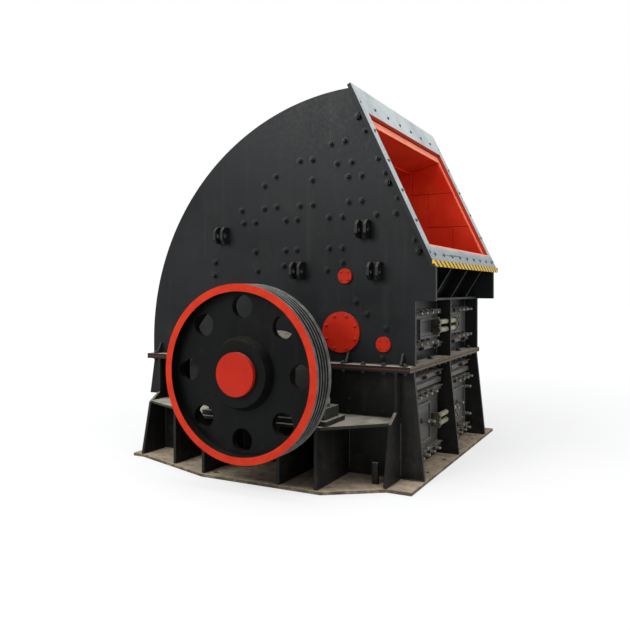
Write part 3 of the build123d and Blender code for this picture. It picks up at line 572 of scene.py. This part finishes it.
# Round covers: centre, number of bolts, their circle's radius, and a bolt's radius and height
COVERS = (
    ((0.680, 1.313), 8, 0.158, 0.013, 0.014),
    ((0.722, 1.831), 4, 0.05, 0.008, 0.009),
    ((1.102, 1.215), 4, 0.05, 0.008, 0.009),
)
for side, label in ((-1, "left"), (1, "right")):
    kit = Kit()
    for places, y, r, h, washer in PLATE_BOLTS:
        for x, z in places:
            kit.bolt((x / 1000, side * y, z / 1000), (0, side, 0), r, h, washer=washer)
    kit.make("plate_bolts_" + label, M["plate_bolt"], "housing", "paint_black")

    kit = Kit()
    for (cx, cz), count, circle, r, h in COVERS:
        for i in range(count):
            a = math.tau * (i + 0.5) / count
            place = (cx + circle * math.cos(a), side * (UPPER_Y + COVER_T), cz + circle * math.sin(a))
            kit.bolt(place, (0, side, 0), r, h)
    kit.make("cover_bolts_" + label, M["red"], "housing", "paint_red")

# Bolt heads on the feed frame, (up, along): above the opening, below it and beside it
FRAME_BOLT = (0.013, 0.011)
frame_places = [(1.59, -1.15 + 0.3286 * i) for i in range(1, 7)]
frame_places += [(0.054, 0.262 * i) for i in range(-4, 5)]
frame_places += [(s, y) for s in (0.38, 0.68, 0.98, 1.29) for y in (-1.135, 1.135)]
kit = Kit()
for s, y in frame_places:
    kit.bolt(on_feed(s, y), FEED_OUT, *FRAME_BOLT, stud=False)
kit.make("feed_frame_bolts", M["dot"], "housing", "bare_steel")

# Lining blocks on the chamber's sides, cut from its outline in rows with staggered joints
SEAM = 0.004  # half a joint, and the chamfer of a block
BLOCK_T = 0.012
ARC_STEPS = 24
arc_from, arc_by, arc_to = (0.587, 3.117), (-0.26, 2.74), (-0.83, 1.9)
arc_x, arc_z = centre_of(arc_from, arc_by, arc_to)
arc_r = math.hypot(arc_from[0] - arc_x, arc_from[1] - arc_z)
arc_start = math.atan2(arc_from[1] - arc_z, arc_from[0] - arc_x)
arc_end = math.atan2(arc_to[1] - arc_z, arc_to[0] - arc_x)
arc = []
for k in range(ARC_STEPS + 1):
    angle = arc_start + (arc_end - arc_start) * k / ARC_STEPS
    arc.append((arc_x + arc_r * math.cos(angle), arc_z + arc_r * math.sin(angle)))
feed_low, feed_high = [on_feed(s, 0, -FEED_T) for s in (0.16, 1.39)]
chamber = arc + [
    (-0.8, 1.25), (1.2, 1.25), (1.2, 1.625), (1.235, 1.63),
    (feed_low.x, feed_low.z), (feed_high.x, feed_high.z),
]
ROWS = (  # a row's lower and upper height, and its upright joints
    (1.25, 1.6, (-0.9, -0.45, 0.05, 0.55, 1.3)),
    (1.6, 2.01, (-0.9, -0.58, -0.1, 0.38, 0.86, 1.34, 1.7)),
    (2.01, 2.441, (-0.9, -0.334, 0.145, 0.617, 1.12, 1.7)),
    (2.441, 2.84, (-0.9, -0.092, 0.306, 0.816, 1.7)),
    (2.84, 3.4, (-0.9, 0.35, 0.62, 1.7)),
)
LEAST_AREA = 0.004
SHAFT_ROOM = 0.25
blocks = []
for low, high, joints in ROWS:
    for x0, x1 in zip(joints, joints[1:]):
        piece = chamber
        for nx, nz, limit in ((1, 0, x1), (-1, 0, -x0), (0, 1, high), (0, -1, -low)):
            piece = clip(piece, nx, nz, limit - SEAM)
            if len(piece) < 3:
                break
        if len(piece) < 3:
            continue
        pairs = zip(piece, piece[1:] + piece[:1])
        area = abs(sum(p[0] * q[1] - q[0] * p[1] for p, q in pairs)) / 2
        middle_x = sum(p[0] for p in piece) / len(piece)
        middle_z = sum(p[1] for p in piece) / len(piece)
        if area >= LEAST_AREA and math.hypot(middle_x - SHAFT_X, middle_z - SHAFT_Z) >= SHAFT_ROOM:
            blocks.append(piece)
for side, label in ((-1, "left"), (1, "right")):
    kit = Kit()
    for piece in blocks:
        kit.slab([Vector((x, side * CHAMBER_Y, z)) for x, z in piece], (0, -side * BLOCK_T, 0), SEAM)
    kit.make("lining_blocks_" + label, M["lining"], "housing", "lining_red")

# Blocks on the curved breaker wall, in five columns
BREAKER_HALF, COLUMNS, ARC_SHARE = 0.995, 5, 4
column = 2 * BREAKER_HALF / COLUMNS
arc_centre = Vector((arc_x, 0, arc_z))
kit = Kit()
for k in range(0, ARC_STEPS, ARC_SHARE):
    for c in range(COLUMNS):
        y0, y1 = -BREAKER_HALF + c * column + SEAM, -BREAKER_HALF + (c + 1) * column - SEAM
        rings = []
        for x, z in arc[k:k + ARC_SHARE + 1]:
            p = Vector((x, 0, z))
            top = p + (arc_centre - p).normalized() * BLOCK_T
            rings.append([
                p + Vector((0, y0, 0)), p + Vector((0, y1, 0)),
                top + Vector((0, y1 - SEAM, 0)), top + Vector((0, y0 + SEAM, 0)),
            ])
        kit.loft(rings)
kit.make("breaker_blocks", M["lining"], "housing", "lining_red")

# Front doors: long studs with nuts, bolts, thin bars and framed hatch plates, the same in both bays
STUD_ROWS = (  # x, shift along y, z and length
    (BAR_X, 0.0, 1.4875, 0.075),
    (DOOR_X, 0.0, 1.205, 0.11),
    (BAR_X, 0.03, 0.7225, 0.075),
    (BAR_X, -0.06, 0.1525, 0.075),
)
LOOSE_STUDS = (  # y, z, length and radius
    (0.6, 0.46, 0.09, 0.016),
    (0.42, 0.43, 0.09, 0.016),
    (0.9, 0.6, 0.09, 0.016),
    (0.9, 0.29, 0.09, 0.016),
    (0.62, 0.21, 0.09, 0.016),
    (0.2, 1.42, 0.06, 0.012),
    (0.2, 1.25, 0.06, 0.012),
)
BAY = (0.05, 1.01)  # a bay's inner and outer end
THIN_BARS = (1.1765, 0.9, 0.7415, 0.171)  # their upper edges
HATCHES = ((0.204, 0.674, 1.234, 1.425), (0.36, 0.86, 0.24, 0.62))  # from y to y, from z to z
HATCH_EDGE = 0.022
BAR_BOLT, TOP_BOLT, REAR_BOLT = (0.026, 0.034), (0.024, 0.03), (0.02, 0.024)
bolts, studs, plates = Kit(), Kit(), Kit()


def stud(x, y, z, length, r=0.014):
    """Long stud with its nut, standing out of a door."""
    studs.turned((x, y, z), (1, 0, 0), [(r, 0), (r, length - 0.005), (r * 0.75, length)], 10)
    bolts.bolt((x, y, z), (1, 0, 0), r * 1.75, 0.024, stud=False)


for out in (1, -1):
    for y in (0.86, 0.7, 0.54, 0.38):
        for x, shift, z, length in STUD_ROWS:
            stud(x, out * (y + shift), z, length)
    for y in (0.72, 0.3):
        bolts.bolt((BAR_X, out * y, 1.1575), (1, 0, 0), *BAR_BOLT)
        bolts.bolt((BAR_X, out * (y - 0.1), 0.8775), (1, 0, 0), *TOP_BOLT)
    for y, z, length, r in LOOSE_STUDS:
        stud(DOOR_X, out * y, z, length, r)
    a, b = sorted(out * y for y in BAY)
    for z in THIN_BARS:
        plates.block((BAR_X - 0.002, a, z - 0.006), (BAR_X + 0.016, b, z), 0.002)
    for y0, y1, z0, z1 in HATCHES:
        a, b = sorted((out * y0, out * y1))
        plates.block((DOOR_X, a, z0), (DOOR_X + 0.012, b, z1), 0.003)
        for ya, za, yb, zb in (
            (a, z0, b, z0 + HATCH_EDGE),
            (a, z1 - HATCH_EDGE, b, z1),
            (a, z0 + 0.02, a + HATCH_EDGE, z1 - 0.02),
            (b - HATCH_EDGE, z0 + 0.02, b, z1 - 0.02),
        ):
            plates.block((DOOR_X + 0.01, ya, za), (DOOR_X + 0.026, yb, zb), 0.003)
bolts.make("door_bolts", M["bolt"], "housing", "paint_black")
studs.make("door_studs", M["nut"], "housing", "bare_steel")
plates.make("door_hatches", M["door"], "housing", "paint_black")

# Bolts on the bars of the rear doors
kit = Kit()
for out in (1, -1):
    for y in (0.78, 0.56, 0.33, 0.12):
        for z in (0.8775, 0.7225, 0.1525):
            kit.bolt((REAR_DOOR_X, out * y, z), (-1, 0, 0), *REAR_BOLT)
kit.make("rear_door_bolts", M["bolt"], "housing", "paint_black")

# Threads near both ends of the adjuster rods
THREAD_PITCH, THREAD_FROM = 0.008, 0.22
kit = Kit()
for level in ROD_LEVELS:
    for z in (level - ROD_SPREAD, level + ROD_SPREAD):
        for y0, y1 in ((-ROD_HALF, -THREAD_FROM), (THREAD_FROM, ROD_HALF)):
            profile = []
            for k in range(int((y1 - y0) / THREAD_PITCH)):
                profile += [(0.0255, k * THREAD_PITCH), (0.0272, k * THREAD_PITCH + THREAD_PITCH / 2)]
            kit.turned((ROD_X, y0, z), (0, 1, 0), profile, 14)
kit.make("rod_threads", M["rod"], "housing", "bare_steel")

# Flange bolts along the sides, where the shaft leaves room, and along the front
FLANGE_BOLT, FLANGE_NUT, FRONT_BOLT = (0.019, 0.022), (0.019, 0.02), (0.024, 0.028)
BOLT_LINE_Y, SHAFT_GAP = 1.165, 0.24
kit = Kit()
for side in (-1, 1):
    for x in (-1.47 + i * 0.2 for i in range(15)):
        if abs(x - SHAFT_X) < SHAFT_GAP:
            continue
        kit.bolt((x, side * BOLT_LINE_Y, FLANGE_TOP), (0, 0, 1), *FLANGE_BOLT)
        kit.bolt((x, side * BOLT_LINE_Y, FLANGE_LOW), (0, 0, -1), *FLANGE_NUT)
for i in range(12):
    kit.bolt((1.358, -1.045 + i * 0.19, FLANGE_LOW), (0, 0, -1), *FLANGE_NUT)
for y in (-0.86, -0.41, 0.12, 0.57, 0.96):
    kit.bolt((1.31, y, FLANGE_TOP), (0, 0, 1), *FRONT_BOLT)
kit.make("flange_bolts", M["bolt"], "housing", "paint_black")

# Small stiffeners between the side plates and the upper flange: (out of the plate, above the flange)
STIFFENER_T = 0.02
STIFFENER = ((0, 0), (0.07, 0), (0.07, 0.015), (0.012, 0.11), (0, 0.11))
kit = Kit()
for side in (-1, 1):
    for x in (-1.455, -0.92, -0.38, 0.757, 1.287):
        outline = [
            Vector((x - STIFFENER_T / 2, side * (UPPER_Y + out), FLANGE_TOP + up)) for out, up in STIFFENER
        ]
        if side > 0:
            outline.reverse()
        kit.slab(outline, (STIFFENER_T, 0, 0), 0.002)
kit.make("flange_stiffeners", M["plate"], "housing", "paint_black")

# One upright bracket on each side of the base plate
kit = Kit()
for side in (-1, 1):
    a, b = sorted((side * 1.32, side * 1.35))
    kit.block((1.095, a, BASE_TOP - 0.0005), (1.15, b, 0.215), 0.003)
kit.make("base_brackets", M["lower"], "housing", "paint_black")

# Bearings: foot studs with their nuts, and bolts round both covers
BEARING_Y, SOLE_TOP, FOOT_REACH = 1.525, 0.727, 0.52
FOOT_STUD = [(0.03, 0), (0.03, 0.115), (0.025, 0.12)]
FOOT_NUT = [(0.056, 0.0), (0.058, 0.004), (0.058, 0.044), (0.05, 0.05)]
COVER_CIRCLE, COVER_BOLT = 0.19, (0.014, 0.016)
studs, bolts = Kit(), Kit()
for side in (-1, 1):
    for x in (SHAFT_X - FOOT_REACH, SHAFT_X + FOOT_REACH):
        studs.turned((x, side * BEARING_Y, SOLE_TOP), (0, 0, 1), FOOT_STUD, 16)
        studs.turned((x, side * BEARING_Y, SOLE_TOP), (0, 0, 1), FOOT_NUT, 6, 0.4)
    for face, out in ((1.7, 1), (1.35, -1)):
        for i in range(8):
            a = math.tau * (i + 0.5) / 8
            place = (SHAFT_X + COVER_CIRCLE * math.cos(a), side * face, SHAFT_Z + COVER_CIRCLE * math.sin(a))
            bolts.bolt(place, (0, side * out, 0), *COVER_BOLT)
studs.make("bearing_studs", M["nut"], "housing", "bare_steel")
bolts.make("bearing_cover_bolts", M["bolt"], "housing", "paint_black")

# Weld beads in the corners between plates
THIN_BEAD, THICK_BEAD = 0.007, 0.008
GUSSET_T = 0.03
GUSSETS = (  # x and how far out each reaches
    (1.235, 1.44), (-1.42, 1.44), (0.735, 1.735), (0.371, 1.735), (-0.426, 1.735), (-0.877, 1.58),
)
FOOT_RUNS = ((-1.39, -0.88), (-0.845, -0.43), (-0.39, 0.37), (0.405, 0.73), (0.77, 1.23), (1.27, 1.48))
FLANGE_RUNS = ((-1.5, -0.05), (0.44, 1.38))
FRONT_RUNS = (  # y, from z, to z and the ripples' phase
    (1.056, 0.034, 0.975, 2),
    (1.049, 1.034, 1.6, 3),
    (0.017, 1.034, 1.6, 5),
    (0.017, 0.034, 0.975, 7),
)
FOOT_Z, BENCH_Z = 0.033, 0.562
kit = Kit()
for side in (-1, 1):
    lower_y, upper_y = side * (LOWER_Y + 0.002), side * (UPPER_Y + 0.002)
    for gusset_x, reach in GUSSETS:
        for x in (gusset_x, gusset_x + GUSSET_T):
            kit.bead((x, side * LOWER_Y, FOOT_Z), (x, side * (reach - 0.01), FOOT_Z), THIN_BEAD, gusset_x)
            kit.bead((x, lower_y, 0.035), (x, lower_y, 0.53), THIN_BEAD, gusset_x * 2)
    for x0, x1 in FOOT_RUNS:
        kit.bead((x0, lower_y, FOOT_Z), (x1, lower_y, FOOT_Z), THICK_BEAD, x0)
        kit.bead((x0, lower_y, BENCH_Z), (min(x1, 1.23), lower_y, BENCH_Z), THIN_BEAD, x1)
    for x0, x1 in FLANGE_RUNS:
        kit.bead((x0, upper_y, FLANGE_TOP + 0.003), (x1, upper_y, FLANGE_TOP + 0.003), THIN_BEAD, x0)
        kit.bead((x0, lower_y, FLANGE_LOW - 0.003), (x1, lower_y, FLANGE_LOW - 0.003), THIN_BEAD, x1)
    for y, z0, z1, wave in FRONT_RUNS:
        kit.bead((WALL_X + 0.002, side * y, z0), (WALL_X + 0.002, side * y, z1), THICK_BEAD, wave)
    kit.bead((WALL_X + 0.004, side * 1.04, FOOT_Z), (WALL_X + 0.004, side * 0.02, FOOT_Z), THICK_BEAD, 9)
kit.make("weld_beads", M["weld"], "housing", "paint_black", smooth=True)

# Weld along the side plates' edges with the curved shell
SHELL_STEPS, SHELL_SWEEP = 40, math.radians(88.0)
weld_y, weld_r = 1.0515, SHELL_R - 0.012
kit = Kit()
for side in (-1, 1):
    points = []
    for k in range(SHELL_STEPS + 1):
        a = math.pi - k * SHELL_SWEEP / SHELL_STEPS
        points.append((SHELL_X + weld_r * math.cos(a), side * weld_y, SHELL_Z + weld_r * math.sin(a)))
    for k in range(1, SHELL_STEPS + 1):
        kit.bead(points[k - 1], points[k], THIN_BEAD, k)
kit.make("shell_welds", M["weld"], "housing", "paint_black", smooth=True)

# Small chamfers on the plates. Round and curved nodes stay as they are.
UNTOUCHED = (
    "rotor", "hammer", "grate", "shaft", "side_covers", "hub_caps", "pulley", "flywheel", "adjuster",
    "back_shell", "breaker",
)
for node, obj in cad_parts.items():
    if node.startswith(UNTOUCHED):
        continue
    weld = obj.modifiers.new("weld", "WELD")
    weld.merge_threshold = 0.0001
    soft = obj.modifiers.new("soft", "BEVEL")
    soft.width = 0.003
    soft.segments = 1
    soft.limit_method = "ANGLE"
    soft.angle_limit = math.radians(40)


def larger(tree, a, b):
    n = tree.nodes.new("ShaderNodeMath")
    n.operation = "MAXIMUM"
    tree.links.new(a, n.inputs[0])
    tree.links.new(b, n.inputs[1])
    return n.outputs[0]


def seen_or_lit(tree, seen, lit, out):
    """Show one shader to the camera, in reflections and through glass, and let the other give light."""
    path = tree.nodes.new("ShaderNodeLightPath").outputs
    bent = larger(tree, path["Is Glossy Ray"], path["Is Transmission Ray"])
    looks = larger(tree, path["Is Camera Ray"], bent)
    pick = tree.nodes.new("ShaderNodeMixShader")
    tree.links.new(looks, pick.inputs[0])
    tree.links.new(lit, pick.inputs[1])
    tree.links.new(seen, pick.inputs[2])
    tree.links.new(pick.outputs[0], out.inputs[0])


# Pale floor that keeps the shadow and glows a little more away from the crusher
FLOOR_HALF, FLOOR_Z = 60, -0.0005
corners = [(x * FLOOR_HALF, y * FLOOR_HALF) for x, y in ((-1, -1), (1, -1), (1, 1), (-1, 1))]
floor_mesh = bpy.data.meshes.new("floor")
floor_mesh.from_pydata([(x, y, FLOOR_Z) for x, y in corners], [], [(0, 1, 2, 3)])
floor = bpy.data.objects.new("floor", floor_mesh)
bpy.context.collection.objects.link(floor)
floor_paint = bpy.data.materials.new("floor_pale")
floor_paint.use_nodes = True
tree = floor_paint.node_tree
tree.nodes.clear()
bright = tree.nodes.new("ShaderNodeBsdfDiffuse")
bright.inputs[0].default_value = (0.62, 0.62, 0.62, 1)
faint = tree.nodes.new("ShaderNodeBsdfDiffuse")
faint.inputs[0].default_value = (0.3, 0.3, 0.3, 1)
spot = tree.nodes.new("ShaderNodeTexCoord")
away = tree.nodes.new("ShaderNodeVectorMath")
away.operation = "LENGTH"
level = tree.nodes.new("ShaderNodeMapRange")
for name, value in (("From Min", 3.0), ("From Max", 10.0), ("To Min", 0.66), ("To Max", 0.86)):
    level.inputs[name].default_value = value
glow = tree.nodes.new("ShaderNodeEmission")
both = tree.nodes.new("ShaderNodeAddShader")
tree.links.new(spot.outputs["Object"], away.inputs[0])
tree.links.new(away.outputs["Value"], level.inputs["Value"])
tree.links.new(level.outputs[0], glow.inputs[1])
tree.links.new(faint.outputs[0], both.inputs[0])
tree.links.new(glow.outputs[0], both.inputs[1])
seen_or_lit(tree, both.outputs[0], bright.outputs[0], tree.nodes.new("ShaderNodeOutputMaterial"))
floor_mesh.materials.append(floor_paint)

# White background, softer where it only gives light
world = bpy.data.worlds.new("studio")
bpy.context.scene.world = world
world.use_nodes = True
tree = world.node_tree
tree.nodes.clear()
white = tree.nodes.new("ShaderNodeBackground")
white.inputs[0].default_value, white.inputs[1].default_value = (1, 1, 1, 1), 1.0
sky = tree.nodes.new("ShaderNodeBackground")
sky.inputs[0].default_value, sky.inputs[1].default_value = (0.96, 0.98, 1, 1), 0.62
seen_or_lit(tree, white.outputs[0], sky.outputs[0], tree.nodes.new("ShaderNodeOutputWorld"))

LAMPS = (  # name, place, point that it faces, width and height, and power in watts
    ("key", (-2.5, -8.0, 6.5), (0, 0, 1.6), (5, 4), 520),
    ("top", (0.5, -1.0, 8.0), (0, 0, 1.0), (6, 6), 260),
    ("front", (9.0, -1.5, 4.5), (0.8, 0, 1.4), (4, 4), 130),
)
for name, place, aim, (width, height), power in LAMPS:
    lamp = bpy.data.lights.new(name, "AREA")
    lamp.shape, lamp.size, lamp.size_y, lamp.energy = "RECTANGLE", width, height, power
    obj = bpy.data.objects.new(name, lamp)
    bpy.context.collection.objects.link(obj)
    obj.location = place
    obj.rotation_euler = (Vector(aim) - Vector(place)).to_track_quat("-Z", "Y").to_euler()

# The photo's camera: level, at eye height, turned 27 degrees off the crusher's side
cam = bpy.data.cameras.new("camera")
cam.sensor_width, cam.lens = 36, 38.14
cam.shift_x, cam.shift_y = -0.0192, -0.0400
cam_obj = bpy.data.objects.new("camera", cam)
bpy.context.collection.objects.link(cam_obj)
cam_obj.location = (3.361, -6.6559, 1.7035)
cam_obj.rotation_euler = (math.radians(90), 0, math.radians(26.96))
bpy.context.scene.camera = cam_obj
bpy.context.scene.view_settings.view_transform = "Standard"
